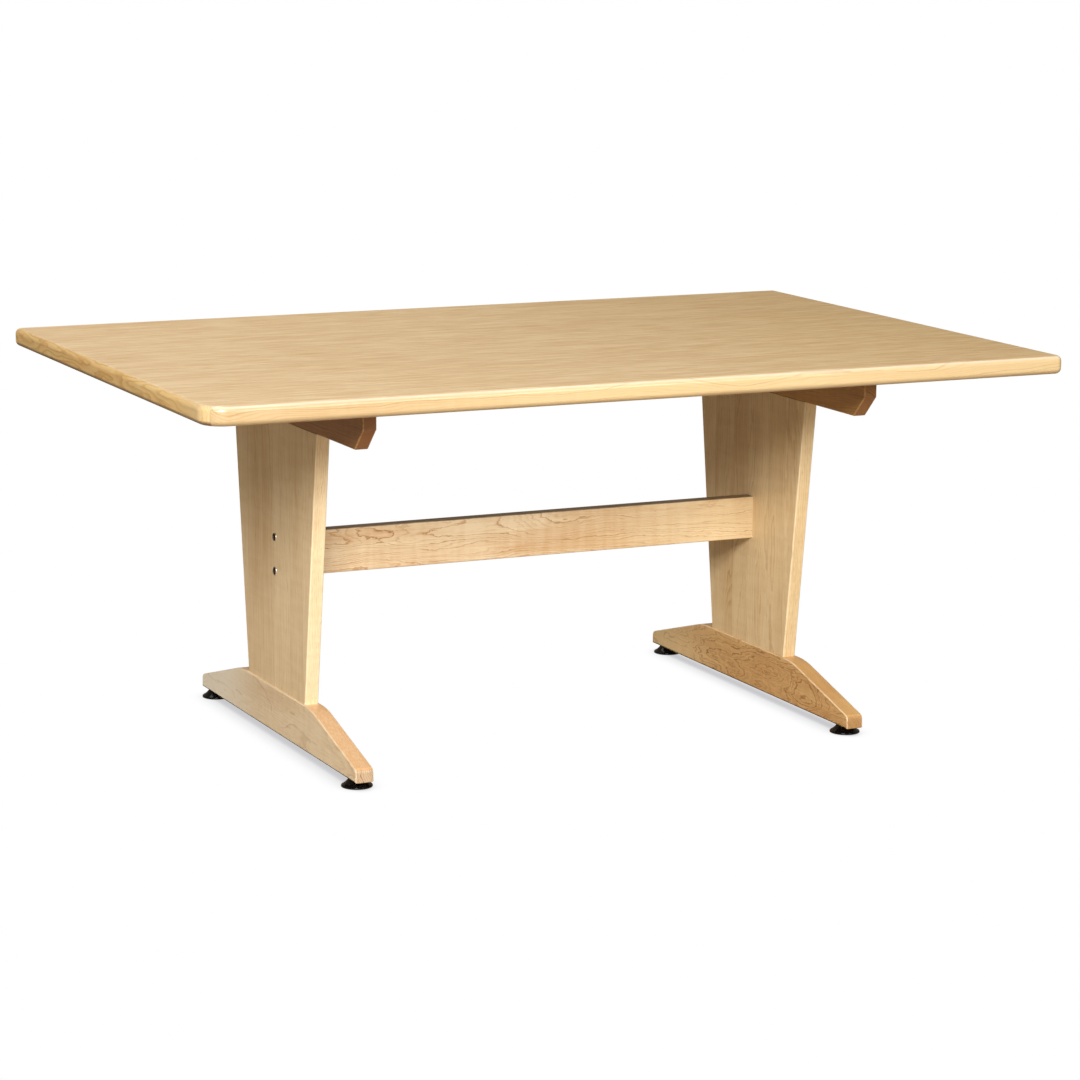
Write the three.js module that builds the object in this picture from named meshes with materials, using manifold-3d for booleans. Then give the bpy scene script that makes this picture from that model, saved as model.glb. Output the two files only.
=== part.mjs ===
// A trestle table: a laminate top with solid maple edging on two T-shaped legs, one stretcher
// between them, and four levelling glides.
// Millimetres, +Z up. X runs along the table and Y from its front edge to its back edge.
// The origin is on the floor under the middle of the top.

import * as THREE from "three";
import { mergeVertices } from "three/addons/utils/BufferGeometryUtils.js";
import Module from "manifold-3d";

const wasm = await Module();
wasm.setup();

// ---- Driving dimensions ----

const GAP = 0.3; // all-round clearance of a turned piece in its hole

// Top
const TABLE_HEIGHT = 792;
const TOP_LENGTH = 1829;
const TOP_WIDTH = 1219;
const TOP_THICKNESS = 38;
const TOP_CORNER_RADIUS = 14;
const FRONT_LEFT_CORNER_RADIUS = 50;
const TOP_EDGE_ROUNDING = 12;
const EDGING_WIDTH = 38;
const LAMINATE_THICKNESS = 1.2;
const BACKER_THICKNESS = 0.8;

// Legs
const LEG_X = 543; // from the middle of the table to the middle of each leg
const UPRIGHT_THICKNESS = 29;
const UPRIGHT_FOOT_WIDTH = 326;
const UPRIGHT_TOP_WIDTH = 472;
const CLEAT_HEIGHT = 88;
const CLEAT_HALF_LENGTH = 478;
const CLEAT_CORNER_CUT = 43;
const FOOT_THICKNESS = 37.5;
const FOOT_HALF_LENGTH = 446;
const FOOT_FLAT_HALF_LENGTH = 203;
const FOOT_HEIGHT = 93;
const FOOT_END_HEIGHT = 26.5;
const FOOT_END_ROUNDING = 9;
const FOOT_SLOPE_ROUNDING = 16;
const ARRIS = 3; // rounding of the long wooden edges

// Stretcher
const STRETCHER_BOTTOM = 341;
const STRETCHER_HEIGHT = 91;
const STRETCHER_THICKNESS = 32;
const BOLT_INSET = 10.5; // from each bolt's axis to the stretcher's nearer edge

// Fasteners
const DOWEL_RADIUS = 6;
const DOWEL_HALF_LENGTH = 30;
const FOOT_DOWEL_SPACING = 110;
const CLEAT_DOWEL_SPACING = 160;
const BOLT_RADIUS = 3;
const BOLT_LENGTH = 79;
const BOLT_HEAD_RADIUS = 9;
const BOLT_HEAD_HEIGHT = 3;
const BOLT_SOCKET_RADIUS = 3;
const NUT_RADIUS = 5;
const NUT_LENGTH = 22;
const NUT_DEPTH = 38; // from the stretcher's end to the barrel nut's axis
const SCREW_Y = [-395, -290, 290, 395];
const SCREW_RADIUS = 2.7;
const SCREW_HEAD_RADIUS = 5.5;
const SCREW_HEAD_HEIGHT = 3.5;
const SCREW_SEAT = 32; // wood left between a screw's head and the top
const SCREW_BITE = 18; // how far a screw reaches into the top

// Glides
const GLIDE_Y = 405;
const GLIDE_HEIGHT = 16;
const PAD_RADIUS = 31;
const PAD_RIM_HEIGHT = 3.5;
const PAD_TOP_RADIUS = 17.5;
const STEM_RADIUS = 4;
const STEM_TOP = 41;
const STEM_SPARE_DEPTH = 4; // how much deeper than the stem its hole is
const STEM_COLLAR_RADIUS = 7;
const STEM_COLLAR_BOTTOM = 5;
const STEM_COLLAR_HEIGHT = 4;
const STEM_NECK_HEIGHT = 2.5;
const INSERT_RADIUS = 6;
const INSERT_LENGTH = 18;

// ---- Places worked out from them ----

const UNDERSIDE = TABLE_HEIGHT - TOP_THICKNESS;
const CLEAT_BOTTOM = UNDERSIDE - CLEAT_HEIGHT;
const FOOT_TOP = GLIDE_HEIGHT + FOOT_HEIGHT;
const CORE_LENGTH = TOP_LENGTH - 2 * EDGING_WIDTH;
const CORE_WIDTH = TOP_WIDTH - 2 * EDGING_WIDTH;
const INNER_FACE_X = LEG_X - UPRIGHT_THICKNESS / 2;
const BOLT_HEIGHTS = {
  lower: STRETCHER_BOTTOM + BOLT_INSET,
  upper: STRETCHER_BOTTOM + STRETCHER_HEIGHT - BOLT_INSET,
};
const SIDES = { left: -1, right: 1 };
const ENDS = { front: -1, back: 1 };

// ---- Materials ----

function wood(colour) {
  return new THREE.MeshStandardMaterial({ color: colour, roughness: 0.45, metalness: 0 });
}

function plastic(colour, roughness) {
  return new THREE.MeshStandardMaterial({ color: colour, roughness: roughness, metalness: 0 });
}

function metal(colour, roughness) {
  return new THREE.MeshStandardMaterial({ color: colour, roughness: roughness, metalness: 1 });
}

// ---- Booleans ----

function solidFrom(geometry) {
  const bare = geometry.clone();
  bare.deleteAttribute("normal");
  bare.deleteAttribute("uv");
  const merged = mergeVertices(bare, 1e-4);
  return new wasm.Manifold(
    new wasm.Mesh({
      numProp: 3,
      vertProperties: merged.attributes.position.array,
      triVerts: new Uint32Array(merged.index.array),
    }),
  );
}

function geometryFrom(solid) {
  const mesh = solid.getMesh();
  const geometry = new THREE.BufferGeometry();
  geometry.setAttribute("position", new THREE.BufferAttribute(mesh.vertProperties, 3));
  geometry.setIndex(new THREE.BufferAttribute(mesh.triVerts, 1));
  return geometry;
}

function cut(blank, tools) {
  let solid = solidFrom(blank);
  for (const tool of tools) {
    solid = solid.subtract(solidFrom(tool));
  }
  return geometryFrom(solid);
}

function keepInside(blank, tools) {
  let solid = solidFrom(blank);
  for (const tool of tools) {
    solid = solid.intersect(solidFrom(tool));
  }
  return geometryFrom(solid);
}

// ---- Shapes ----

// A box of the given length and width about the Z axis, between two heights.
function block(length, width, low, high) {
  return new THREE.BoxGeometry(length, width, high - low).translate(0, 0, (low + high) / 2);
}

// A round bar on the Z axis, between two heights.
function bar(radius, low, high, sides = 16) {
  return new THREE.CylinderGeometry(radius, radius, high - low, sides)
    .rotateX(Math.PI / 2)
    .translate(0, 0, (low + high) / 2);
}

// A turned piece: its profile is a list of [radius, height] from the bottom up.
function turned(profile, sides) {
  const points = profile.map(([radius, height]) => new THREE.Vector2(radius, height));
  return new THREE.LatheGeometry(points, sides).rotateX(Math.PI / 2);
}

// An outline whose corners are [across, up, rounding], rounded where the rounding isn't 0.
function outline(corners) {
  const shape = new THREE.Shape();
  const points = corners.map(([across, up]) => new THREE.Vector2(across, up));
  corners.forEach(([, , rounding], i) => {
    const corner = points[i];
    const before = points[(i + corners.length - 1) % corners.length];
    const after = points[(i + 1) % corners.length];
    const start = corner.clone().add(before.clone().sub(corner).setLength(rounding));
    const end = corner.clone().add(after.clone().sub(corner).setLength(rounding));
    if (i === 0) {
      shape.moveTo(start.x, start.y);
    } else {
      shape.lineTo(start.x, start.y);
    }
    if (rounding > 0) {
      shape.quadraticCurveTo(corner.x, corner.y, end.x, end.y);
    }
  });
  shape.closePath();
  return shape;
}

// A board whose outline is drawn across the table (Y) and up (Z), and whose thickness is along X.
function board(shape, thickness, arris) {
  return new THREE.ExtrudeGeometry(shape, {
    depth: thickness - 2 * arris,
    bevelEnabled: arris > 0,
    bevelThickness: arris,
    bevelSize: arris,
    bevelOffset: -arris,
    bevelSegments: 2,
    curveSegments: 4,
  })
    .translate(0, 0, arris - thickness / 2)
    .rotateX(Math.PI / 2)
    .rotateZ(Math.PI / 2);
}

function piece(name, geometry, material) {
  const mesh = new THREE.Mesh(geometry, material);
  mesh.name = name;
  return mesh;
}

// ---- Top ----

// The whole top as one blank: round corners in plan, and round edges above and below.
function topBlank() {
  const corners = [
    [1, 1, TOP_CORNER_RADIUS],
    [-1, 1, TOP_CORNER_RADIUS],
    [-1, -1, FRONT_LEFT_CORNER_RADIUS],
    [1, -1, TOP_CORNER_RADIUS],
  ];
  const shape = new THREE.Shape();
  corners.forEach(([endX, endY, radius], i) => {
    const x = endX * (TOP_LENGTH / 2 - radius);
    const y = endY * (TOP_WIDTH / 2 - radius);
    shape.absarc(x, y, radius, (i * Math.PI) / 2, ((i + 1) * Math.PI) / 2);
  });
  return new THREE.ExtrudeGeometry(shape, {
    depth: TOP_THICKNESS - 2 * TOP_EDGE_ROUNDING,
    bevelThickness: TOP_EDGE_ROUNDING,
    bevelSize: TOP_EDGE_ROUNDING,
    bevelOffset: -TOP_EDGE_ROUNDING,
    bevelSegments: 4,
    curveSegments: 8,
  }).translate(0, 0, UNDERSIDE + TOP_EDGE_ROUNDING);
}

// A wedge of the plan that one edging lies in, with mitred ends. It is drawn for the front edge.
function mitreWedge(length, width) {
  const reach = 20;
  const half = length / 2 + reach - GAP;
  const front = -width / 2 - reach;
  const depth = EDGING_WIDTH + reach;
  const shape = outline([
    [-half, front, 0],
    [half, front, 0],
    [half - depth, front + depth, 0],
    [-half + depth, front + depth, 0],
  ]);
  const settings = { depth: TOP_THICKNESS + 2, bevelEnabled: false };
  return new THREE.ExtrudeGeometry(shape, settings).translate(0, 0, UNDERSIDE - 1);
}

function screwHoles() {
  const high = UNDERSIDE + SCREW_BITE + 1;
  return Object.values(SIDES).flatMap((side) =>
    SCREW_Y.map((y) => bar(SCREW_RADIUS + GAP, UNDERSIDE - 1, high, 12).translate(side * LEG_X, y, 0)),
  );
}

function top() {
  const group = new THREE.Group();
  const sheetBottom = TABLE_HEIGHT - LAMINATE_THICKNESS;
  const coreBottom = UNDERSIDE + BACKER_THICKNESS;
  const blank = topBlank();
  const above = block(2 * TOP_LENGTH, 2 * TOP_WIDTH, sheetBottom, TABLE_HEIGHT + 1);
  const laminate = keepInside(blank, [above]);
  const middle = block(CORE_LENGTH, CORE_WIDTH, UNDERSIDE - 1, TABLE_HEIGHT + 1);
  const frame = cut(blank, [above, middle]);

  group.add(piece("top_laminate", laminate, plastic("#dcbb8c", 0.4)));
  const core = cut(block(CORE_LENGTH, CORE_WIDTH, coreBottom, sheetBottom), screwHoles());
  group.add(piece("top_core", core, wood("#b58e5c")));
  const backer = cut(block(CORE_LENGTH, CORE_WIDTH, UNDERSIDE, coreBottom), screwHoles());
  group.add(piece("top_backer", backer, plastic("#7d5a3c", 0.6)));

  const edgingWood = wood("#edcd93");
  const wedges = {
    front: mitreWedge(TOP_LENGTH, TOP_WIDTH),
    back: mitreWedge(TOP_LENGTH, TOP_WIDTH).rotateZ(Math.PI),
    left: mitreWedge(TOP_WIDTH, TOP_LENGTH).rotateZ(-Math.PI / 2),
    right: mitreWedge(TOP_WIDTH, TOP_LENGTH).rotateZ(Math.PI / 2),
  };
  for (const [edge, wedge] of Object.entries(wedges)) {
    group.add(piece(`top_edging_${edge}`, keepInside(frame, [wedge]), edgingWood));
  }
  return group;
}

// ---- Leg pieces, all drawn about the leg's own middle ----

function dowelHoles(spacing, height) {
  const low = height - DOWEL_HALF_LENGTH - GAP;
  const high = height + DOWEL_HALF_LENGTH + GAP;
  return [-spacing, 0, spacing].map((y) => bar(DOWEL_RADIUS + GAP, low, high, 12).translate(0, y, 0));
}

function dowel() {
  const chamfer = 1.5;
  return turned(
    [
      [0, -DOWEL_HALF_LENGTH],
      [DOWEL_RADIUS - chamfer, -DOWEL_HALF_LENGTH],
      [DOWEL_RADIUS, chamfer - DOWEL_HALF_LENGTH],
      [DOWEL_RADIUS, DOWEL_HALF_LENGTH - chamfer],
      [DOWEL_RADIUS - chamfer, DOWEL_HALF_LENGTH],
      [0, DOWEL_HALF_LENGTH],
    ],
    12,
  );
}

// The upright's blank is a little too long, and is sawn square at the foot and at the cleat.
function upright() {
  const spare = 20;
  const slope = (UPRIGHT_TOP_WIDTH - UPRIGHT_FOOT_WIDTH) / 2 / (CLEAT_BOTTOM - FOOT_TOP);
  const low = UPRIGHT_FOOT_WIDTH / 2 - slope * spare;
  const high = UPRIGHT_TOP_WIDTH / 2 + slope * spare;
  const blank = board(
    outline([
      [-low, FOOT_TOP - spare, 0],
      [low, FOOT_TOP - spare, 0],
      [high, CLEAT_BOTTOM + spare, 0],
      [-high, CLEAT_BOTTOM + spare, 0],
    ]),
    UPRIGHT_THICKNESS,
    ARRIS,
  );
  const sawn = keepInside(blank, [block(2 * UPRIGHT_THICKNESS, 2 * high, FOOT_TOP, CLEAT_BOTTOM)]);
  const boltHoles = Object.values(BOLT_HEIGHTS).map((height) =>
    bar(BOLT_RADIUS + GAP, -UPRIGHT_THICKNESS, UPRIGHT_THICKNESS)
      .rotateY(Math.PI / 2)
      .translate(0, 0, height),
  );
  return cut(sawn, [
    ...dowelHoles(FOOT_DOWEL_SPACING, FOOT_TOP),
    ...dowelHoles(CLEAT_DOWEL_SPACING, CLEAT_BOTTOM),
    ...boltHoles,
  ]);
}

function foot() {
  const endTop = GLIDE_HEIGHT + FOOT_END_HEIGHT;
  const blank = board(
    outline([
      [-FOOT_HALF_LENGTH, GLIDE_HEIGHT, 0],
      [FOOT_HALF_LENGTH, GLIDE_HEIGHT, 0],
      [FOOT_HALF_LENGTH, endTop, FOOT_END_ROUNDING],
      [FOOT_FLAT_HALF_LENGTH, FOOT_TOP, FOOT_SLOPE_ROUNDING],
      [-FOOT_FLAT_HALF_LENGTH, FOOT_TOP, FOOT_SLOPE_ROUNDING],
      [-FOOT_HALF_LENGTH, endTop, FOOT_END_ROUNDING],
    ]),
    FOOT_THICKNESS,
    ARRIS,
  );
  const seatTop = GLIDE_HEIGHT + INSERT_LENGTH + GAP;
  const seats = Object.values(ENDS).flatMap((end) => [
    bar(INSERT_RADIUS + GAP, GLIDE_HEIGHT - 1, seatTop).translate(0, end * GLIDE_Y, 0),
    bar(STEM_RADIUS + 2 * GAP, GLIDE_HEIGHT, STEM_TOP + STEM_SPARE_DEPTH).translate(0, end * GLIDE_Y, 0),
  ]);
  return cut(blank, [...dowelHoles(FOOT_DOWEL_SPACING, FOOT_TOP), ...seats]);
}

function cleat() {
  const cutFoot = CLEAT_HALF_LENGTH - CLEAT_CORNER_CUT;
  const blank = board(
    outline([
      [-cutFoot, CLEAT_BOTTOM, 0],
      [cutFoot, CLEAT_BOTTOM, 0],
      [CLEAT_HALF_LENGTH, CLEAT_BOTTOM + CLEAT_CORNER_CUT, 0],
      [CLEAT_HALF_LENGTH, UNDERSIDE, 0],
      [-CLEAT_HALF_LENGTH, UNDERSIDE, 0],
      [-CLEAT_HALF_LENGTH, CLEAT_BOTTOM + CLEAT_CORNER_CUT, 0],
    ]),
    UPRIGHT_THICKNESS,
    ARRIS,
  );
  const seat = UNDERSIDE - SCREW_SEAT;
  const screwWays = SCREW_Y.flatMap((y) => [
    bar(SCREW_HEAD_RADIUS + 2 * GAP, CLEAT_BOTTOM - 1, seat, 12).translate(0, y, 0),
    bar(SCREW_RADIUS + GAP, seat - 1, UNDERSIDE + 1, 12).translate(0, y, 0),
  ]);
  return cut(blank, [...dowelHoles(CLEAT_DOWEL_SPACING, CLEAT_BOTTOM), ...screwWays]);
}

// A pan-head wood screw, head down, that pulls the top onto the cleat.
function cleatScrew() {
  const seat = UNDERSIDE - SCREW_SEAT;
  const tip = UNDERSIDE + SCREW_BITE;
  const taper = 6;
  const drive = new THREE.CylinderGeometry(2, 2, 3, 4).rotateX(Math.PI / 2);
  const body = turned(
    [
      [0, seat - SCREW_HEAD_HEIGHT],
      [SCREW_HEAD_RADIUS * 0.7, seat - SCREW_HEAD_HEIGHT],
      [SCREW_HEAD_RADIUS, seat - SCREW_HEAD_HEIGHT * 0.5],
      [SCREW_HEAD_RADIUS, seat],
      [SCREW_RADIUS, seat],
      [SCREW_RADIUS, tip - taper],
      [0, tip],
    ],
    12,
  );
  return cut(body, [drive.translate(0, 0, seat - SCREW_HEAD_HEIGHT)]);
}

// A connector bolt with a wide low head and a hexagon socket. It lies along X with its head
// towards -X, and the head's underside is at 0.
function connectorBolt() {
  const edge = 1.2;
  const body = turned(
    [
      [0, -BOLT_HEAD_HEIGHT],
      [BOLT_HEAD_RADIUS - 2 * edge, -BOLT_HEAD_HEIGHT],
      [BOLT_HEAD_RADIUS - edge / 2, edge - BOLT_HEAD_HEIGHT],
      [BOLT_HEAD_RADIUS, 0],
      [BOLT_RADIUS, 0],
      [BOLT_RADIUS, BOLT_LENGTH - 1],
      [BOLT_RADIUS - 1, BOLT_LENGTH],
      [0, BOLT_LENGTH],
    ],
    20,
  );
  const socket = bar(BOLT_SOCKET_RADIUS, -BOLT_HEAD_HEIGHT - 1, -0.5, 6);
  return cut(body, [socket]).rotateY(Math.PI / 2);
}

// A steel barrel nut across the stretcher (along Y), with its cross bore along X.
function barrelNut() {
  const barrel = bar(NUT_RADIUS, -NUT_LENGTH / 2, NUT_LENGTH / 2).rotateX(Math.PI / 2);
  const bore = bar(BOLT_RADIUS + GAP, -2 * NUT_RADIUS, 2 * NUT_RADIUS).rotateY(Math.PI / 2);
  return cut(barrel, [bore]);
}

// ---- Glides ----

function glideInsert() {
  const inner = STEM_RADIUS + GAP;
  return turned(
    [
      [inner, GLIDE_HEIGHT],
      [INSERT_RADIUS, GLIDE_HEIGHT],
      [INSERT_RADIUS, GLIDE_HEIGHT + INSERT_LENGTH],
      [inner, GLIDE_HEIGHT + INSERT_LENGTH],
      [inner, GLIDE_HEIGHT],
    ],
    20,
  );
}

function glideStem() {
  const collarTop = STEM_COLLAR_BOTTOM + STEM_COLLAR_HEIGHT;
  return turned(
    [
      [0, STEM_COLLAR_BOTTOM],
      [STEM_COLLAR_RADIUS, STEM_COLLAR_BOTTOM],
      [STEM_COLLAR_RADIUS, collarTop],
      [STEM_RADIUS, collarTop + STEM_NECK_HEIGHT],
      [STEM_RADIUS, STEM_TOP - 1],
      [STEM_RADIUS - 1, STEM_TOP],
      [0, STEM_TOP],
    ],
    20,
  );
}

// The pad is a low cone with a socket that the stem's collar turns in.
function glidePad() {
  const clearance = 1.5 * GAP;
  const top = GLIDE_HEIGHT - GAP;
  const collarTop = STEM_COLLAR_BOTTOM + STEM_COLLAR_HEIGHT;
  const neck = STEM_RADIUS + clearance;
  const socket = STEM_COLLAR_RADIUS + clearance;
  return turned(
    [
      [0, 0],
      [PAD_RADIUS - 1, 0],
      [PAD_RADIUS, 1],
      [PAD_RADIUS, PAD_RIM_HEIGHT - 1],
      [PAD_RADIUS - 0.6, PAD_RIM_HEIGHT],
      [PAD_TOP_RADIUS, top - 1],
      [PAD_TOP_RADIUS - 1, top],
      [neck, top],
      [neck, collarTop + STEM_NECK_HEIGHT + clearance],
      [socket, collarTop + clearance],
      [socket, STEM_COLLAR_BOTTOM - clearance],
      [0, STEM_COLLAR_BOTTOM - clearance],
    ],
    28,
  );
}

// ---- Assembly ----

function leg(side, name) {
  const group = new THREE.Group();
  group.position.x = side * LEG_X;
  const maple = wood("#d9bd88");
  group.add(piece(`upright_${name}`, upright(), maple));
  group.add(piece(`foot_${name}`, foot(), maple));
  group.add(piece(`cleat_${name}`, cleat(), maple));

  const joints = [
    ["foot", FOOT_DOWEL_SPACING, FOOT_TOP],
    ["cleat", CLEAT_DOWEL_SPACING, CLEAT_BOTTOM],
  ];
  for (const [joint, spacing, height] of joints) {
    for (const place of [1, 2, 3]) {
      const mesh = piece(`${joint}_dowel_${name}_${place}`, dowel(), wood("#cfae7a"));
      mesh.position.set(0, (place - 2) * spacing, height);
      group.add(mesh);
    }
  }

  SCREW_Y.forEach((y, i) => {
    const mesh = piece(`cleat_screw_${name}_${i + 1}`, cleatScrew(), metal("#b9b29c", 0.35));
    mesh.position.y = y;
    group.add(mesh);
  });

  for (const [place, height] of Object.entries(BOLT_HEIGHTS)) {
    const bolt = piece(`connector_bolt_${name}_${place}`, connectorBolt(), metal("#2b2622", 0.35));
    bolt.position.set((side * UPRIGHT_THICKNESS) / 2, 0, height);
    bolt.rotation.z = side > 0 ? Math.PI : 0;
    group.add(bolt);
    const nut = piece(`barrel_nut_${name}_${place}`, barrelNut(), metal("#b8b8b4", 0.35));
    nut.position.set(-side * (UPRIGHT_THICKNESS / 2 + NUT_DEPTH), 0, height);
    group.add(nut);
  }

  for (const [end, direction] of Object.entries(ENDS)) {
    const glide = new THREE.Group();
    glide.position.y = direction * GLIDE_Y;
    glide.add(piece(`glide_insert_${name}_${end}`, glideInsert(), metal("#b8a15e", 0.4)));
    glide.add(piece(`glide_stem_${name}_${end}`, glideStem(), metal("#b8b8b4", 0.3)));
    glide.add(piece(`glide_pad_${name}_${end}`, glidePad(), plastic("#121212", 0.25)));
    group.add(glide);
  }
  return group;
}

function stretcher() {
  const shape = outline([
    [-STRETCHER_THICKNESS / 2, STRETCHER_BOTTOM, ARRIS],
    [STRETCHER_THICKNESS / 2, STRETCHER_BOTTOM, ARRIS],
    [STRETCHER_THICKNESS / 2, STRETCHER_BOTTOM + STRETCHER_HEIGHT, ARRIS],
    [-STRETCHER_THICKNESS / 2, STRETCHER_BOTTOM + STRETCHER_HEIGHT, ARRIS],
  ]);
  const blank = board(shape, 2 * INNER_FACE_X, 0);
  const boltReach = BOLT_LENGTH - UPRIGHT_THICKNESS + 2;
  const tools = Object.values(SIDES).flatMap((side) =>
    Object.values(BOLT_HEIGHTS).flatMap((height) => [
      bar(BOLT_RADIUS + GAP, -boltReach, boltReach)
        .rotateY(Math.PI / 2)
        .translate(side * INNER_FACE_X, 0, height),
      bar(NUT_RADIUS + GAP, -STRETCHER_THICKNESS, NUT_LENGTH / 2 + GAP)
        .rotateX(Math.PI / 2)
        .translate(side * (INNER_FACE_X - NUT_DEPTH), 0, height),
    ]),
  );
  return piece("stretcher", cut(blank, tools), wood("#e0bd88"));
}

const table = new THREE.Group();
table.add(top());
table.add(stretcher());
for (const [name, side] of Object.entries(SIDES)) {
  table.add(leg(side, name));
}

export default table;
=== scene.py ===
"""Looks of a trestle table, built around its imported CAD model.

Metres, in the CAD model's own frame: X along the table, Y from its front edge to its back, Z up.
"""

import math

import bmesh
import bpy
from mathutils import Matrix, Vector


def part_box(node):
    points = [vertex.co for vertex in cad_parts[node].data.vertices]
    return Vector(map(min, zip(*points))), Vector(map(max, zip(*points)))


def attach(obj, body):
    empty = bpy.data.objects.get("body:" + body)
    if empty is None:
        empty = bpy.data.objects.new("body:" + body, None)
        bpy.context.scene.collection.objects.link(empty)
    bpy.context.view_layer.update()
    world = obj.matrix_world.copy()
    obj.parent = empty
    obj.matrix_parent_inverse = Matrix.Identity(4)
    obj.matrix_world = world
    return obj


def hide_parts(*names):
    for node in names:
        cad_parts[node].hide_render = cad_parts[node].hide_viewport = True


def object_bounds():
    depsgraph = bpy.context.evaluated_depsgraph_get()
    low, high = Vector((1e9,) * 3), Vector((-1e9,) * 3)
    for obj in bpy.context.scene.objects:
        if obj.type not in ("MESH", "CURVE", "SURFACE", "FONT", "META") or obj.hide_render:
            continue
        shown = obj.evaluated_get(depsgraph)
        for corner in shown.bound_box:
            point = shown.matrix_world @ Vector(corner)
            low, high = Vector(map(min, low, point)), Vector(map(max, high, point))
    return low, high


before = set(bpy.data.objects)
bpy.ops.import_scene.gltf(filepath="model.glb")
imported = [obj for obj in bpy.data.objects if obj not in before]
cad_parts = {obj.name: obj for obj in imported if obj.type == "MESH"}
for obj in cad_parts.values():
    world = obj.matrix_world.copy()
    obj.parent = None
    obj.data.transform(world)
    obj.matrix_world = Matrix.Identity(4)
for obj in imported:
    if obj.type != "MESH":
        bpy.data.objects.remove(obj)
cad_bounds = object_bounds()

MM = 0.001
SIDES = {"left": -1, "right": 1}
ENDS = {"front": -1, "back": 1}
BOLT_PLACES = ("lower", "upper")
DOWELS = (1, 2, 3)
SCREWS = (1, 2, 3, 4)

# Roundings of the wood, and how finely they are drawn
ARRIS = 3 * MM
ARRIS_STEPS = 4
TOP_EDGE_ROUNDING = 12 * MM
TOP_CORNER_RADIUS = 14 * MM
FRONT_LEFT_CORNER_RADIUS = 50 * MM
CORNER_STEPS = 14
OUTLINE_CORNER_STEPS = 5
MITRE_GAP = 0.3 * MM
ROUND_STEPS = 40
PAD_STEPS = 72
STEM_STEPS = 28
SCREW_STEPS = 24

# Outlines of the feet and the cleats
FOOT_END_HEIGHT = 26.5 * MM
FOOT_END_ROUNDING = 11 * MM
FOOT_FLAT_HALF_LENGTH = 203 * MM
FOOT_BEND_ROUNDING = 200 * MM
FOOT_SOLE_ROUNDING = 1.5 * MM
# Where the painted tone on the feet's up-facing slopes starts, from the middle
FOOT_SLOPE_PAINTED_TONE_START = 163 * MM
CLEAT_CORNER_CUT = 43 * MM
CLEAT_ROUNDING = 2 * MM

# Holes in the wood, and how far a cutter runs past the face that it comes out of
HOLE_CLEARANCE = 0.3 * MM
BOLT_HOLE_RADIUS = 3.3 * MM
NUT_HOLE_RADIUS = 5.3 * MM
STEM_HOLE_RADIUS = 4.6 * MM
STEM_HOLE_SPARE = 4 * MM
SCREW_HOLE_RADIUS = 3.0 * MM
SCREW_WAY_RADIUS = 6.1 * MM
SCREW_HEAD_HEIGHT = 3.5 * MM
CUTTER_OVERRUN = 10 * MM

# Edges that turn by more than this many degrees are shaded as sharp
SHARP_WOOD = 50
SHARP_SHEET = 40
SHARP_METAL = 35
SHARP_THREAD = 30

# Light that comes from all round, light that the floor throws back, and reach of the contact shadows
# painted on the floor
SKY_STRENGTH = 0.28
SKY_TINT = (1.0, 0.84, 0.62, 1)
FLOOR_BOUNCE = (0.43, 0.37, 0.295, 1)
SHADOW_REACH = 0.07

# The camera stands at the front left, a little above the top
CAMERA_PLACE = Vector((-2.931, -6.400, 1.728))
CAMERA_YAW = 0.4337
CAMERA_PITCH = 0.1901
CAMERA_ROLL = 0.0060
CAMERA_LENS = 114.3


# ---- Node trees ----


class Nodes:
    """Short calls that build a node tree. A value is a number, a tuple or another node's socket."""

    def __init__(self, tree):
        self.tree = tree

    def put(self, socket, value):
        """Sets a socket to a number or a tuple, or links another socket to it."""
        if isinstance(value, bpy.types.NodeSocket):
            self.tree.links.new(value, socket)
        else:
            socket.default_value = value

    def add(self, kind, values=(), **settings):
        """Makes a node, with settings as its attributes and values in its inputs."""
        node = self.tree.nodes.new(kind)
        for key, value in settings.items():
            setattr(node, key, value)
        for key, value in dict(values).items():
            self.put(node.inputs[key], value)
        return node

    def math(self, operation, *values, clamp=False):
        values = dict(enumerate(values))
        node = self.add("ShaderNodeMath", values, operation=operation, use_clamp=clamp)
        return node.outputs[0]

    def plus(self, first, second, clamp=False):
        return self.math("ADD", first, second, clamp=clamp)

    def minus(self, first, second):
        return self.math("SUBTRACT", first, second)

    def times(self, first, second):
        return self.math("MULTIPLY", first, second)

    def ramp(self, value, low, high, start=0.0, end=1.0):
        """value from low to high, turned smoothly into start to end."""
        values = {"Value": value, "From Min": low, "From Max": high, "To Min": start, "To Max": end}
        node = self.add("ShaderNodeMapRange", values, interpolation_type="SMOOTHSTEP")
        return node.outputs["Result"]

    def noise(self, place, scale, detail=2.0, roughness=0.5):
        values = {"Vector": place, "Scale": scale, "Detail": detail, "Roughness": roughness}
        return self.add("ShaderNodeTexNoise", values).outputs["Fac"]

    def stretched(self, place, along, across, through, shift=0.0):
        """place scaled by another number on each axis, so that noise drawn on it is stretched."""
        scaled = {0: place, 1: (along, across, through)}
        node = self.add("ShaderNodeVectorMath", scaled, operation="MULTIPLY")
        moved = {0: node.outputs[0], 1: (shift, 1.7 * shift, 2.3 * shift)}
        return self.add("ShaderNodeVectorMath", moved, operation="ADD").outputs[0]

    def mix(self, share, first, second, blend="MIX"):
        node = self.add("ShaderNodeMix", data_type="RGBA", blend_type=blend)
        self.put(node.inputs[0], share)
        self.put(node.inputs[6], first)
        self.put(node.inputs[7], second)
        return node.outputs[2]


def colour(red, green, blue):
    """An sRGB colour, 0 to 255, as the linear colour that Blender's sockets hold."""
    return tuple(srgb_to_linear(value / 255) for value in (red, green, blue)) + (1.0,)


def srgb_to_linear(value):
    return value / 12.92 if value <= 0.04045 else ((value + 0.055) / 1.055) ** 2.4


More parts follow.
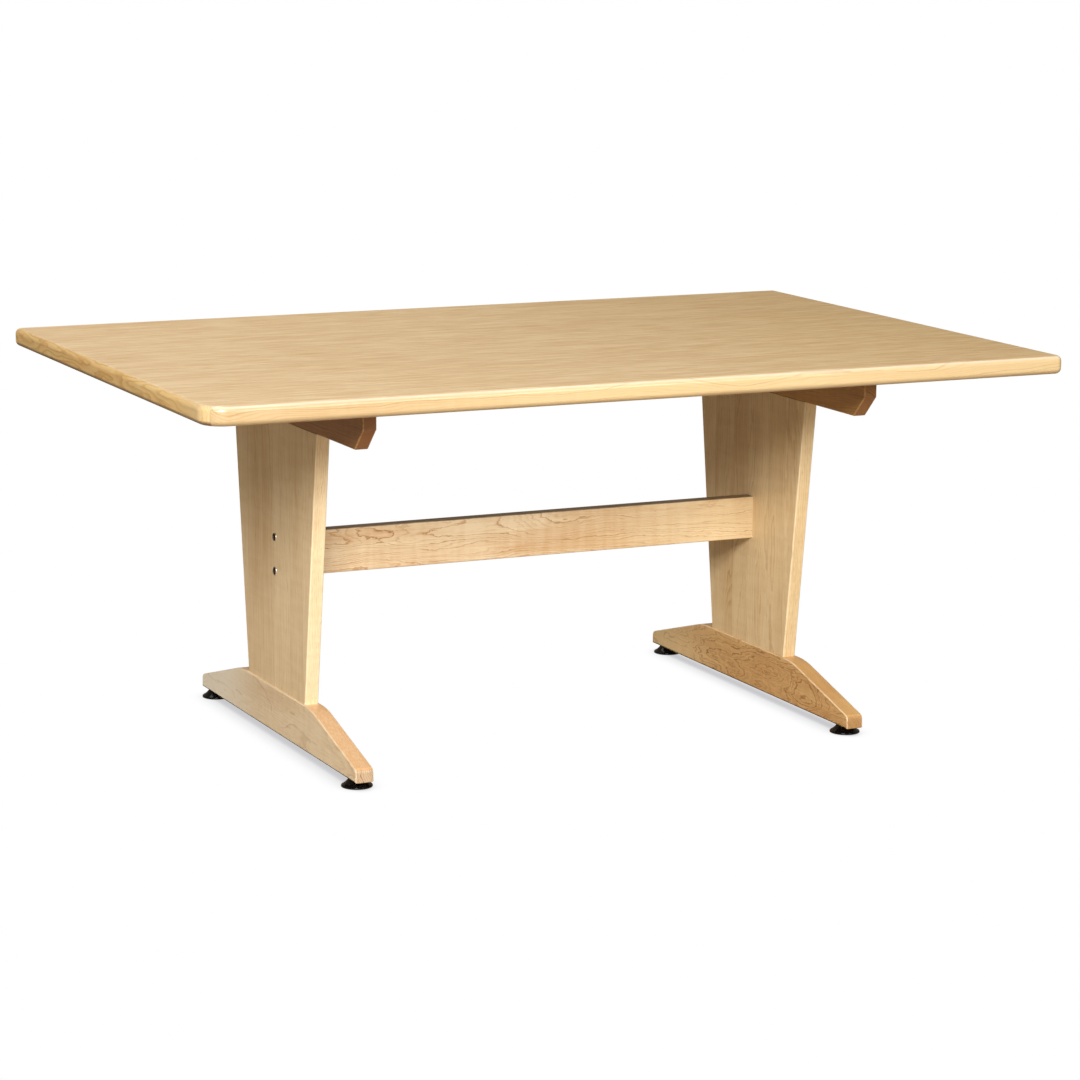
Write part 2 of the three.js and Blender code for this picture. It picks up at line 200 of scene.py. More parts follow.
def new_material(name):
    """A new material with one Principled shader in its tree: (material, nodes, shader)."""
    material = bpy.data.materials.new(name)
    material.use_nodes = True
    nodes = Nodes(material.node_tree)
    shader = material.node_tree.nodes["Principled BSDF"]
    return material, nodes, shader


def bumped(nodes, shader, height, distance):
    """Gives a shader relief, where a height of 1 stands distance metres above 0."""
    values = {"Height": height, "Distance": distance, "Strength": 1.0}
    nodes.put(shader.inputs["Normal"], nodes.add("ShaderNodeBump", values).outputs["Normal"])


# ---- Maple ----


def grain_place(nodes, axes):
    """Object coordinates as (along the grain, across it, through the board)."""
    source = nodes.add("ShaderNodeTexCoord").outputs["Object"]
    split = nodes.add("ShaderNodeSeparateXYZ", {0: source})
    joined = nodes.add("ShaderNodeCombineXYZ")
    for i, axis in enumerate(axes):
        nodes.put(joined.inputs[i], split.outputs["XYZ".index(axis)])
    return joined.outputs[0]


def staved(nodes, place, width, start, count):
    """Shifts place differently in each of count + 1 edge-glued staves.

    The glue lines are width apart from start on. Returns the shifted place, a random number for
    each stave, and the glue lines as a mask."""
    split = nodes.add("ShaderNodeSeparateXYZ", {0: place})
    place_in_row = nodes.math("DIVIDE", nodes.minus(split.outputs[1], start), width)
    wobble = nodes.times(nodes.math("SINE", nodes.times(place_in_row, 2.4)), 0.12)
    place_in_row = nodes.plus(place_in_row, wobble)
    place_in_row = nodes.math("MAXIMUM", nodes.math("MINIMUM", place_in_row, count - 0.4), -0.6)
    stave = nodes.math("FLOOR", place_in_row)
    random = nodes.add("ShaderNodeTexWhiteNoise", {"W": stave}, noise_dimensions="1D")
    shift = {0: random.outputs["Color"], 1: (3.0, 0.5, 0.06)}
    shift = nodes.add("ShaderNodeVectorMath", shift, operation="MULTIPLY")
    moved = nodes.add("ShaderNodeVectorMath", {0: place, 1: shift.outputs[0]}, operation="ADD")
    inside = nodes.math("PINGPONG", nodes.math("FRACT", place_in_row), 0.5)
    glue = nodes.ramp(inside, 0.003, 0.012, 1.0, 0.0)
    return moved.outputs[0], random.outputs["Value"], glue


def maple(
    name,
    axes,
    light,
    dark,
    seed=0.0,
    pith=(0.02, -0.09),
    lean=(0.03, 0.05),
    ring=0.0042,
    figure=0.5,
    line=0.3,
    warp=1.0,
    swirls=(),
    stave=None,
    stave_contrast=0.0,
    fleck=0.5,
    line_width=0.2,
    unbroken=0.1,
    line_colour=colour(122, 78, 40),
    jagged=1.0,
    mottle=1.0,
    end_share=1.0,
    along_tone_and_light=None,
    up_facing_painted_light=None,
    down_facing_painted_shade=None,
    coat=0.25,
    worn_share=0.6,
    worn_from=0.0,
    worn_colour=colour(252, 236, 200),
):
    """Clear-lacquered hard maple, as a solid texture of growth rings around a leaning pith.

    axes names the directions along the grain, across it and through the board. pith is where
    the log's middle is, across and through, and lean is how fast that moves along the grain.
    swirls are (along, across, radius, depth) places where the rings bulge. along_tone_and_light is the
    (start, end, share, colour) of a slow change of tone along the grain, which on the feet and the
    edgings is painted light: one end of the board lighter or paler. up_facing_painted_light and
    down_facing_painted_shade are the (colour, share, start) of painted light and painted shade on faces
    looking up and down, further than start from the middle. Arrises get a lighter band, partly wear and
    partly a painted highlight, only further than worn_from from the middle."""
    material, nodes, shader = new_material(name)
    place = grain_place(nodes, axes)
    tone = 0.5
    glue = 0.0
    flat_place = place
    flat_along = nodes.add("ShaderNodeSeparateXYZ", {0: place}).outputs[0]
    if stave:
        place, tone, glue = staved(nodes, place, *stave)
    split = nodes.add("ShaderNodeSeparateXYZ", {0: place})
    along, across, through = split.outputs[0], split.outputs[1], split.outputs[2]

    def centred(along_scale, across_scale, shift, size, detail=2.0):
        """Noise around 0, with features 1 / scale metres long and wide and size metres high."""
        stretched = nodes.stretched(place, along_scale, across_scale, across_scale, seed + shift)
        value = nodes.noise(stretched, 1.0, detail)
        return nodes.times(nodes.minus(value, 0.5), size * warp)

    def total(*values):
        value = values[0]
        for other in values[1:]:
            value = nodes.plus(value, other)
        return value

    def from_pith(socket, start, slope):
        moved = nodes.minus(socket, start)
        return nodes.plus(moved, nodes.times(along, slope))

    bend = centred(1.6, 9, 0, 0.050)
    side = total(from_pith(across, pith[0], lean[0]), bend)
    deep = from_pith(through, pith[1], lean[1])
    squares = total(nodes.times(side, side), nodes.times(deep, deep))
    waver = centred(9, 38, 3, 0.012)
    ragged = centred(60, 190, 5, 0.0016 * jagged)
    radius = total(nodes.math("SQRT", squares), bend, waver, ragged)
    for swirl_along, swirl_across, size, depth in swirls:
        middle = (swirl_along, swirl_across, 0)
        away = nodes.add("ShaderNodeVectorMath", {0: flat_place, 1: middle}, operation="SUBTRACT")
        away = nodes.stretched(away.outputs[0], 0.5 / size, 1 / size, 0)
        distance = nodes.add("ShaderNodeVectorMath", {0: away}, operation="LENGTH").outputs["Value"]
        radius = total(radius, nodes.ramp(distance, 0.0, 1.0, depth, 0.0))
    rings = nodes.math("DIVIDE", radius, ring)
    share = nodes.math("FRACT", rings)
    number = nodes.math("FLOOR", rings)
    random = nodes.add("ShaderNodeTexWhiteNoise", {"W": number}, noise_dimensions="1D").outputs["Value"]
    broken = nodes.noise(nodes.stretched(place, 14, 60, 60, seed + 37), 1.0, 2.0)
    broken = nodes.ramp(broken, 0.35, 0.62, unbroken, 1.0)
    late = nodes.times(nodes.ramp(share, 0.30, 0.95), nodes.ramp(share, 0.95, 1.0, 1.0, 0.0))
    late = nodes.times(late, nodes.math("MULTIPLY_ADD", random, 0.8, 0.2))
    peak = 1 - 0.4 * line_width
    edge = nodes.ramp(share, peak - line_width, peak)
    edge = nodes.times(edge, nodes.ramp(share, peak, 1.0, 1.0, 0.0))
    edge = nodes.times(nodes.times(edge, broken), nodes.math("POWER", random, 1.5))

    fibre = nodes.noise(nodes.stretched(place, 9, 420, 420, seed + 7), 1.0, 3.0, 0.6)
    cloud = nodes.noise(nodes.stretched(place, 2.2, 16, 16, seed + 11), 1.0, 2.0)
    pores = nodes.noise(nodes.stretched(place, 110, 900, 900, seed + 17), 1.0, 1.0)
    streak = nodes.noise(nodes.stretched(place, 7, 110, 110, seed + 23), 1.0, 2.0)
    curl = nodes.noise(nodes.stretched(place, 60, 9, 9, seed + 31), 1.0, 1.0)

    depth = nodes.times(late, figure)
    depth = total(depth, nodes.ramp(cloud, 0.3, 0.75, -0.14 * mottle, 0.20 * mottle))
    depth = total(depth, nodes.ramp(fibre, 0.3, 0.7, -0.12, 0.16))
    depth = total(depth, nodes.ramp(curl, 0.3, 0.7, -0.05 * mottle, 0.06 * mottle))
    if stave:
        depth = total(depth, nodes.ramp(tone, 0.0, 1.0, -stave_contrast, stave_contrast))
    depth = nodes.plus(depth, 0.22, clamp=True)
    base = nodes.mix(depth, light, dark)
    # Along the grain the board drifts to another tone: painted light (one end lighter) on the feet and the
    # edgings, a change of the wood's tone elsewhere.
    if along_tone_and_light:
        start, end, along_top_share, along_colour = along_tone_and_light
        along_share = nodes.ramp(flat_along, start, end, 0.0, along_top_share)
        base = nodes.mix(along_share, base, along_colour)

    base = nodes.mix(nodes.times(edge, line), base, line_colour)
    mineral = nodes.times(nodes.ramp(streak, 0.70, 0.80), fleck)
    base = nodes.mix(nodes.times(mineral, 0.45), base, line_colour)
    specks = nodes.times(nodes.ramp(pores, 0.68, 0.80), 0.5 * fleck)
    base = nodes.mix(specks, base, line_colour)
    if stave:
        base = nodes.mix(nodes.times(glue, 0.22), base, line_colour)

    normal = nodes.add("ShaderNodeTexCoord").outputs["Normal"]
    normal = nodes.add("ShaderNodeSeparateXYZ", {0: normal})
    end_on = nodes.math("ABSOLUTE", normal.outputs["XYZ".index(axes[0])])
    end_tone = nodes.mix(nodes.math("MULTIPLY_ADD", late, 0.6, 0.5), light, colour(146, 98, 54))
    base = nodes.mix(nodes.ramp(end_on, 0.45, 0.85, 0.0, end_share), base, end_tone)
    from_middle = nodes.math("ABSOLUTE", flat_along)
    # Painted light and shade: faces looking up and faces looking down are given other colours.
    for painted_face_tone, flat, steep in ((up_facing_painted_light, 0.35, 0.8), (down_facing_painted_shade, -0.05, -0.6)):
        if painted_face_tone:
            painted_tone_colour, painted_tone_share, start = painted_face_tone
            painted_tone_mask = nodes.ramp(normal.outputs[2], flat, steep, 0.0, painted_tone_share)
            painted_tone_mask = nodes.times(painted_tone_mask, nodes.ramp(fibre, 0.35, 0.65, 0.75, 1.1))
            if start:
                painted_tone_mask = nodes.times(painted_tone_mask, nodes.ramp(from_middle, start, start + 0.01))
            base = nodes.mix(painted_tone_mask, base, painted_tone_colour)
    # A lighter band along the arrises: partly wear, partly a painted highlight.
    facing = nodes.math("ABSOLUTE", normal.outputs["XYZ".index(axes[2])])
    worn = nodes.times(facing, nodes.minus(1.0, facing))
    edge_band_noise = nodes.noise(nodes.stretched(place, 25, 160, 160, seed + 41), 1.0, 3.0)
    worn = nodes.times(nodes.ramp(worn, 0.02, 0.16), nodes.ramp(edge_band_noise, 0.35, 0.60, 0.35, 1.0))
    if worn_from:
        worn = nodes.times(worn, nodes.ramp(from_middle, worn_from, worn_from + 0.01))
    base = nodes.mix(nodes.times(worn, worn_share), base, worn_colour)

    nodes.put(shader.inputs["Base Color"], base)
    dull = nodes.plus(nodes.ramp(fibre, 0.3, 0.7, 0.34, 0.46), nodes.times(worn, -0.08))
    nodes.put(shader.inputs["Roughness"], dull)
    shader.inputs["Coat Weight"].default_value = coat
    shader.inputs["Coat Roughness"].default_value = 0.24
    shader.inputs["IOR"].default_value = 1.45
    relief = nodes.plus(nodes.times(fibre, 0.5), nodes.times(late, 0.5))
    relief = nodes.minus(relief, nodes.times(specks, 1.0))
    bumped(nodes, shader, relief, 0.00012)
    return material


def laminate_material():
    """Satin laminate printed with pinkish, fine-grained maple."""
    material, nodes, shader = new_material("laminate")
    place = grain_place(nodes, "XYZ")
    split = nodes.add("ShaderNodeSeparateXYZ", {0: place})
    slow = nodes.noise(nodes.stretched(place, 1.1, 4.5, 1), 1.0, 3.0)
    quick = nodes.noise(nodes.stretched(place, 9, 30, 1, 5), 1.0, 2.0)
    bend = nodes.times(nodes.minus(slow, 0.5), 0.30)
    waver = nodes.times(nodes.minus(quick, 0.5), 0.030)
    radius = nodes.plus(split.outputs[1], nodes.plus(bend, waver))
    rings = nodes.math("DIVIDE", radius, 0.026)
    share = nodes.math("FRACT", rings)
    late = nodes.times(nodes.ramp(share, 0.3, 0.85), nodes.ramp(share, 0.85, 1.0, 1.0, 0.0))
    patch = nodes.noise(nodes.stretched(place, 2.4, 7, 1, 9), 1.0, 2.0)
    late = nodes.times(late, nodes.ramp(patch, 0.40, 0.65, 0.1, 1.0))
    fine = nodes.noise(nodes.stretched(place, 11, 300, 1, 13), 1.0, 3.0, 0.7)
    long = nodes.noise(nodes.stretched(place, 5, 125, 1, 21), 1.0, 3.0, 0.75)
    band = nodes.noise(nodes.stretched(place, 2.5, 26, 1, 33), 1.0, 2.0)
    dash = nodes.noise(nodes.stretched(place, 13, 260, 1, 27), 1.0, 2.0)
    depth = nodes.times(late, 0.12)
    depth = nodes.plus(depth, nodes.ramp(fine, 0.3, 0.7, -0.38, 0.42))
    depth = nodes.plus(depth, nodes.ramp(long, 0.3, 0.7, -0.16, 0.18))
    depth = nodes.plus(depth, nodes.ramp(band, 0.3, 0.7, -0.06, 0.07))
    depth = nodes.plus(depth, nodes.ramp(dash, 0.55, 0.8, 0.0, 0.5))
    depth = nodes.plus(depth, 0.40, clamp=True)
    base = nodes.mix(depth, colour(241, 219, 178), colour(207, 168, 122))
    # Painted shade: the sheet turns darker and yellower towards its right end, where less light falls.
    painted_shade_to_right = nodes.ramp(split.outputs[0], -0.1, 0.9, 0.0, 0.6)
    base = nodes.mix(painted_shade_to_right, base, (0.94, 0.90, 0.76, 1), blend="MULTIPLY")
    nodes.put(shader.inputs["Base Color"], base)
    nodes.put(shader.inputs["Roughness"], nodes.ramp(fine, 0.3, 0.7, 0.54, 0.62))
    shader.inputs["IOR"].default_value = 1.42
    pebble = nodes.noise(nodes.stretched(place, 900, 900, 900), 1.0, 2.0)
    relief = nodes.plus(nodes.times(pebble, 0.7), nodes.times(fine, 0.3))
    bumped(nodes, shader, relief, 0.00006)
    return material


def backer_material():
    """The matt brown balancing sheet on the underside, with the fibres of its paper."""
    material, nodes, shader = new_material("backer")
    place = grain_place(nodes, "XYZ")
    paper = nodes.noise(nodes.stretched(place, 300, 300, 300), 1.0, 4.0, 0.7)
    blotch = nodes.noise(nodes.stretched(place, 5, 5, 5, 3), 1.0, 3.0)
    depth = nodes.plus(nodes.ramp(paper, 0.3, 0.7, 0.0, 0.5), nodes.ramp(blotch, 0.3, 0.7, 0.0, 0.5))
    base = nodes.mix(depth, colour(150, 118, 86), colour(122, 94, 66))
    nodes.put(shader.inputs["Base Color"], base)
    nodes.put(shader.inputs["Roughness"], nodes.ramp(paper, 0.3, 0.7, 0.6, 0.8))
    bumped(nodes, shader, paper, 0.0001)
    return material


def particleboard_material():
    """Raw chips of many sizes, seen only where the board is bored."""
    material, nodes, shader = new_material("particleboard")
    place = grain_place(nodes, "XYZ")
    flat_cells = nodes.stretched(place, 350, 350, 700)
    chips = nodes.add("ShaderNodeTexVoronoi", {"Vector": flat_cells, "Scale": 1.0})
    dust = nodes.noise(nodes.stretched(place, 900, 900, 900), 1.0, 3.0)
    shade = nodes.add("ShaderNodeSeparateColor", {0: chips.outputs["Color"]}).outputs[0]
    depth = nodes.plus(nodes.times(shade, 0.7), nodes.times(dust, 0.3))
    nodes.put(shader.inputs["Base Color"], nodes.mix(depth, colour(200, 165, 118), colour(142, 106, 68)))
    nodes.put(shader.inputs["Roughness"], nodes.ramp(dust, 0.3, 0.7, 0.75, 0.95))
    bumped(nodes, shader, depth, 0.0004)
    return material


def metal_material(name, tint, dark, roughness, grime, rim_axis=None, rim_highlight_tint=None):
    """Turned and plated metal: fine scratches, and dirt in blotches.

    With rim_axis, what turns away from that axis gets a painted highlight in the rim colour."""
    material, nodes, shader = new_material(name)
    place = grain_place(nodes, "XYZ")
    scratch = nodes.noise(nodes.stretched(place, 400, 2600, 2600), 1.0, 3.0, 0.7)
    blotch = nodes.noise(nodes.stretched(place, 180, 180, 180, 5), 1.0, 3.0)
    dirt = nodes.times(nodes.ramp(blotch, 0.45, 0.7), grime)
    base = nodes.mix(dirt, tint, dark)
    # Painted highlight on the rim.
    if rim_axis:
        normal = nodes.add("ShaderNodeTexCoord").outputs["Normal"]
        normal = nodes.add("ShaderNodeSeparateXYZ", {0: normal})
        facing = nodes.math("ABSOLUTE", normal.outputs["XYZ".index(rim_axis)])
        base = nodes.mix(nodes.ramp(facing, 0.62, 0.90, 1.0, 0.0), base, rim_highlight_tint)
    nodes.put(shader.inputs["Base Color"], base)
    rough = nodes.plus(nodes.ramp(scratch, 0.3, 0.7, roughness, roughness + 0.15), dirt)
    nodes.put(shader.inputs["Roughness"], rough)
    shader.inputs["Metallic"].default_value = 1.0
    bumped(nodes, shader, scratch, 0.00003)
    return material


def black_plastic_material():
    """Glossy moulded plastic, with a thin dust in clouds and scuffs near the floor."""
    material, nodes, shader = new_material("black_plastic")
    place = grain_place(nodes, "XYZ")
    height = nodes.add("ShaderNodeSeparateXYZ", {0: place}).outputs[2]
    speck = nodes.noise(nodes.stretched(place, 700, 700, 700), 1.0, 3.0)
    cloud = nodes.noise(nodes.stretched(place, 90, 90, 90, 4), 1.0, 3.0)
    scuff = nodes.times(nodes.ramp(height, 0.0, 0.004, 1.0, 0.0), nodes.ramp(speck, 0.4, 0.6))
    thin_dust = nodes.ramp(cloud, 0.4, 0.8, 0.0, 0.008)
    dust = nodes.plus(nodes.times(scuff, 0.05), thin_dust, clamp=True)
    nodes.put(shader.inputs["Base Color"], nodes.mix(dust, colour(6, 6, 6), colour(120, 116, 112)))
    gloss = nodes.plus(nodes.ramp(cloud, 0.3, 0.7, 0.10, 0.18), dust, clamp=True)
    nodes.put(shader.inputs["Roughness"], gloss)
    shader.inputs["IOR"].default_value = 1.33
    bumped(nodes, shader, cloud, 0.00004)
    return material


# ---- Mesh building ----


def piece(bm, name, material, node, body="table"):
    """Turns a bmesh into a piece that stands for one CAD node."""
    bmesh.ops.remove_doubles(bm, verts=bm.verts, dist=1e-7)
    bmesh.ops.recalc_face_normals(bm, faces=bm.faces)
    mesh = bpy.data.meshes.new(name)
    bm.to_mesh(mesh)
    bm.free()
    mesh.shade_smooth()
    obj = bpy.data.objects.new(name, mesh)
    bpy.context.scene.collection.objects.link(obj)
    mesh.materials.append(material)
    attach(obj, body)
    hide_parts(node)
    return obj


def keep_flats_flat(obj):
    """Shades each large flat face as flat and the small roundings beside it as smooth."""
    modifier = obj.modifiers.new("flat_faces", "WEIGHTED_NORMAL")
    modifier.keep_sharp = True
    modifier.weight = 100


def set_sharp(obj, angle):
    """Marks the edges that turn by more than angle, in degrees, as sharp."""
    obj.data.set_sharp_from_angle(angle=math.radians(angle))


def drilled(obj, cutters):
    """Cuts each cutter bmesh out of obj, for good."""
    tools = []
    for i, cutter in enumerate(cutters):
        mesh = bpy.data.meshes.new(f"cutter_{i}")
        cutter.to_mesh(mesh)
        cutter.free()
        tool = bpy.data.objects.new(mesh.name, mesh)
        bpy.context.scene.collection.objects.link(tool)
        modifier = obj.modifiers.new(mesh.name, "BOOLEAN")
        modifier.operation = "DIFFERENCE"
        modifier.solver = "EXACT"
        modifier.object = tool
        tools.append(tool)
    graph = bpy.context.evaluated_depsgraph_get()
    made = bpy.data.meshes.new_from_object(obj.evaluated_get(graph), depsgraph=graph)
    made.name = obj.data.name
    obj.modifiers.clear()
    obj.data = made
    for tool in tools:
        bpy.data.objects.remove(tool)
    return obj


def finish_wood(obj, cutters=()):
    """Cuts the holes, then shades the flats as flat and the roundings as smooth."""
    if cutters:
        drilled(obj, cutters)
    set_sharp(obj, SHARP_WOOD)
    keep_flats_flat(obj)


def rod(start, end, radius, steps=ROUND_STEPS):
    """A closed round bar between two points, as a bmesh."""
    start, end = Vector(start), Vector(end)
    bm = bmesh.new()
    turn = (end - start).to_track_quat("Z", "Y").to_matrix().to_4x4()
    place = Matrix.Translation((start + end) / 2) @ turn
    bmesh.ops.create_cone(
        bm,
        cap_ends=True,
        segments=steps,
        radius1=radius,
        radius2=radius,
        depth=(end - start).length,
        matrix=place,
    )
    return bm


def bar(size, matrix):
    """A square-edged bar, centred on where matrix puts the origin, as a bmesh."""
    bm = bmesh.new()
    bmesh.ops.create_cube(bm, size=1.0, matrix=matrix @ Matrix.Diagonal((*size, 1)))
    return bm


def turned(profile, steps=ROUND_STEPS):
    """A piece turned on the Z axis from a profile of (radius, height), closed at both ends."""
    bm = bmesh.new()
    loops = []
    for radius, height in profile:
        if radius < 1e-9:
            loops.append([bm.verts.new((0, 0, height))])
            continue
        angles = [2 * math.pi * i / steps for i in range(steps)]
        loops.append([bm.verts.new((radius * math.cos(a), radius * math.sin(a), height)) for a in angles])
    for low, high in zip(loops, loops[1:]):
        for i in range(steps):
            j = (i + 1) % steps
            corners = [low[i % len(low)], low[j % len(low)], high[j % len(high)], high[i % len(high)]]
            bm.faces.new(list(dict.fromkeys(corners)))
    return bm


def placed(bm, matrix):
    """Moves a bmesh by a matrix and hands it back."""
    bmesh.ops.transform(bm, matrix=matrix, verts=bm.verts)
    return bm


def arc_corner(before, corner, after, radius, steps):
    """The points that round an outline's corner off with an arc."""
    before, corner, after = Vector(before), Vector(corner), Vector(after)
    to_before, to_after = (before - corner).normalized(), (after - corner).normalized()
    half = to_before.angle(to_after) / 2
    reach = radius / math.tan(half)
    middle = corner + (to_before + to_after).normalized() * (radius / math.sin(half))
    start, end = corner + to_before * reach - middle, corner + to_after * reach - middle
    sweep = start.angle(end)
    points = []
    for i in range(steps + 1):
        share = i / steps
        weight_start = math.sin((1 - share) * sweep) / math.sin(sweep)
        weight_end = math.sin(share * sweep) / math.sin(sweep)
        points.append(middle + start * weight_start + end * weight_end)
    return points


def rounded_outline(corners):
    """An outline of (across, up, radius) corners, each rounded where its radius isn't 0."""
    points = []
    for i, (across, up, radius) in enumerate(corners):
        before, after = corners[i - 1][:2], corners[(i + 1) % len(corners)][:2]
        if radius:
            points += arc_corner(before, (across, up), after, radius, OUTLINE_CORNER_STEPS)
        else:
            points.append(Vector((across, up)))
    return points


def skinned(sections):
    """A closed bmesh through a row of sections, which all have the same number of points."""
    bm = bmesh.new()
    loops = [[bm.verts.new(point) for point in section] for section in sections]
    for first, second in zip(loops, loops[1:]):
        for i in range(len(first)):
            j = (i + 1) % len(first)
            bm.faces.new([first[i], first[j], second[j], second[i]])
    bm.faces.new(loops[0])
    bm.faces.new(list(reversed(loops[-1])))
    return bm


def board(outline, low, high, eased):
    """A board with its outline in Y and Z and its thickness in X, from low to high.

    eased(edge) says which edges are rounded."""
    bm = skinned([[(x, across, up) for across, up in outline] for x in (low, high)])
    bmesh.ops.recalc_face_normals(bm, faces=bm.faces)
    chosen = [edge for edge in bm.edges if eased(edge)]
    bmesh.ops.bevel(bm, geom=chosen, offset=ARRIS, segments=ARRIS_STEPS, profile=0.5, affect="EDGES")
    return bm


def lies_at(edge, axis, value):
    """Whether both ends of an edge are at value on an axis."""
    return all(abs(vert.co[axis] - value) < 1e-6 for vert in edge.verts)


def runs_along_x(edge):
    return abs(edge.verts[0].co.x - edge.verts[1].co.x) > 1e-6


# ---- Materials ----

laminate = laminate_material()
backer = backer_material()
particleboard = particleboard_material()
steel = metal_material("plated_steel", colour(196, 195, 190), colour(110, 104, 92), 0.28, 0.3)
# The bolt heads' bright rims are a painted highlight, a glint of the lights.
dark_steel = metal_material(
    "dark_steel", colour(30, 25, 22), colour(14, 11, 9), 0.20, 0.2,
    rim_axis="X", rim_highlight_tint=colour(236, 228, 214),
)
brass = metal_material("insert_brass", colour(200, 170, 110), colour(120, 92, 50), 0.3, 0.4)
black_plastic = black_plastic_material()
EDGING_LOOK = {
    "figure": 0.5, "line": 0.35, "line_width": 0.4, "unbroken": 0.4, "fleck": 0.2, "pith": (0.70, -0.55),
    "lean": (0.01, 0.015), "worn_share": 0.0, "end_share": 0.15,
}
edging_wood = {
    # Painted light on the front and back edgings: paler towards the right end, a painted highlight on the
    # upper rounding and painted shade on the lower rounding.
    "X": maple(
        "maple_edging_x", "XZY", colour(211, 189, 146), colour(194, 155, 106), seed=2,
        along_tone_and_light=(-0.8, 0.1, 0.5, colour(242, 212, 158)),
        up_facing_painted_light=(colour(255, 242, 226), 0.5, 0), down_facing_painted_shade=(colour(150, 110, 60), 0.3, 0), coat=0.8,
        **EDGING_LOOK,
    ),
    # Painted light on the side edgings: a paler, greyer front end near the lit front corner, and dark
    # painted shade on the lower rounding.
    "Y": maple(
        "maple_edging_y", "YZX", colour(240, 208, 146), colour(218, 168, 98), seed=5,
        along_tone_and_light=(-0.42, -0.58, 0.6, colour(224, 198, 152)), down_facing_painted_shade=(colour(96, 62, 32), 0.85, 0),
        coat=0.1, **EDGING_LOOK,
    ),
}

# Glue lines of an upright: their distance apart, the first one, and how many there are
STAVES = (0.0775, -0.155, 5)
UPRIGHT_LOOK = {
    "figure": 0.32, "line": 0.22, "stave": STAVES, "stave_contrast": 0.12, "lean": (0.005, 0.012),
    "fleck": 0.9,
}
upright_wood = {
    "left": maple(
        "maple_upright_left", "ZYX", colour(250, 226, 184), colour(212, 171, 116), seed=1, **UPRIGHT_LOOK,
    ),
    "right": maple(
        "maple_upright_right", "ZYX", colour(244, 218, 171), colour(205, 162, 105), seed=8, **UPRIGHT_LOOK,
    ),
}
# Painted light on the feet: each turns paler towards its back end, and its up-facing slopes take a warmer,
# deeper painted tone for how the light falls on them.
foot_wood = {
    "left": maple(
        "maple_foot_left", "YZX", colour(248, 227, 192), colour(213, 174, 128), seed=3, figure=0.3,
        line=0.2, line_width=0.3, fleck=0.9, worn_share=0.4, swirls=((-0.02, 0.06, 0.05, 0.010),),
        along_tone_and_light=(0.05, 0.34, 1.0, colour(253, 243, 222)),
        up_facing_painted_light=(colour(224, 158, 84), 0.55, FOOT_SLOPE_PAINTED_TONE_START),
    ),
    "right": maple(
        "maple_foot_right", "YZX", colour(229, 186, 124), colour(182, 126, 66), seed=4,
        pith=(-0.05, -0.05), ring=0.0027, figure=0.4, line=0.8, line_width=0.4, unbroken=0.6, warp=1.5,
        jagged=2.0, mottle=1.3, fleck=1.0, line_colour=colour(124, 72, 30),
        swirls=((-0.27, 0.04, 0.06, 0.012), (0.28, 0.05, 0.06, 0.009)),
        along_tone_and_light=(0.05, 0.42, 0.65, colour(240, 214, 164)),
        up_facing_painted_light=(colour(226, 176, 112), 0.5, FOOT_SLOPE_PAINTED_TONE_START),
    ),
}
# Painted shade on the cleats: their dark, warm colours stand for the deep shadow under the top, and their
# downward faces get more painted shade. The lighter band on their edges is partly wear, partly a painted
# highlight.
CLEAT_LOOK = {
    "figure": 0.4, "worn_from": 0.25, "worn_colour": colour(222, 178, 120),
    "down_facing_painted_shade": (colour(150, 92, 46), 0.5, 0.40),
}
cleat_wood_painted_shade = {
    "left": maple(
        "maple_cleat_left_painted_shade", "YZX", colour(170, 120, 72), colour(130, 82, 45), seed=6, **CLEAT_LOOK,
    ),
    "right": maple(
        "maple_cleat_right_painted_shade", "YZX", colour(200, 150, 84), colour(154, 104, 54), seed=16, **CLEAT_LOOK,
    ),
}
# The stretcher's top face is painted dark, a painted shadow from the table top; the board also turns
# yellower towards its right end.
stretcher_wood = maple(
    "maple_stretcher", "XZY", colour(244, 221, 183), colour(211, 161, 105), seed=7,
    pith=(0.31, -0.05), lean=(0.05, 0.03), ring=0.006, figure=0.35, line=0.8, line_width=0.22, unbroken=0.5,
    line_colour=colour(158, 98, 46), jagged=2.5, mottle=1.5, warp=1.8, fleck=1.0, worn_share=0.2,
    along_tone_and_light=(0.0, 0.5, 0.3, colour(250, 220, 160)),
    up_facing_painted_light=(colour(84, 56, 32), 0.85, 0), swirls=((-0.44, 0.385, 0.06, 0.016), (0.04, 0.40, 0.08, 0.012)),
)
dowel_wood = maple("dowel_wood", "ZYX", colour(246, 223, 180), colour(209, 165, 112), seed=9)


# ---- The top ----


def top_profile():
    """The rounded edge as (inset, height) points, from the laminate's rim down to the underside."""
    high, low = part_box("top_laminate")[1].z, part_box("top_backer")[0].z
    upper, lower = high - TOP_EDGE_ROUNDING, low + TOP_EDGE_ROUNDING
    sheet_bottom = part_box("top_laminate")[0].z
    start = math.acos((sheet_bottom - upper) / TOP_EDGE_ROUNDING)

    def on_arc(centre, angle):
        inset = TOP_EDGE_ROUNDING * (1 - math.sin(angle))
        return inset, centre + TOP_EDGE_ROUNDING * math.cos(angle)

    steps = 8
    rim = [on_arc(upper, start * i / 3) for i in range(4)]
    over = [on_arc(upper, start + (math.pi / 2 - start) * i / steps) for i in range(steps + 1)]
    under = [on_arc(lower, math.pi / 2 * (1 + i / steps)) for i in range(steps + 1)]
    return rim, over + under


def top_station(direction, half_length, half_width, radius, angle, end):
    """Where an inset line meets the edge of the top, at one angle round a corner.

    direction is the edge's outward normal. Returns a function from inset to a point in plan."""
    outward = Vector(direction)
    along = Vector((-outward.y, outward.x)) * end
    centre = along * (half_length - radius) + outward * (half_width - radius)
    aim = outward * math.cos(angle) + along * math.sin(angle)
    return lambda inset: centre + aim * (radius - inset)


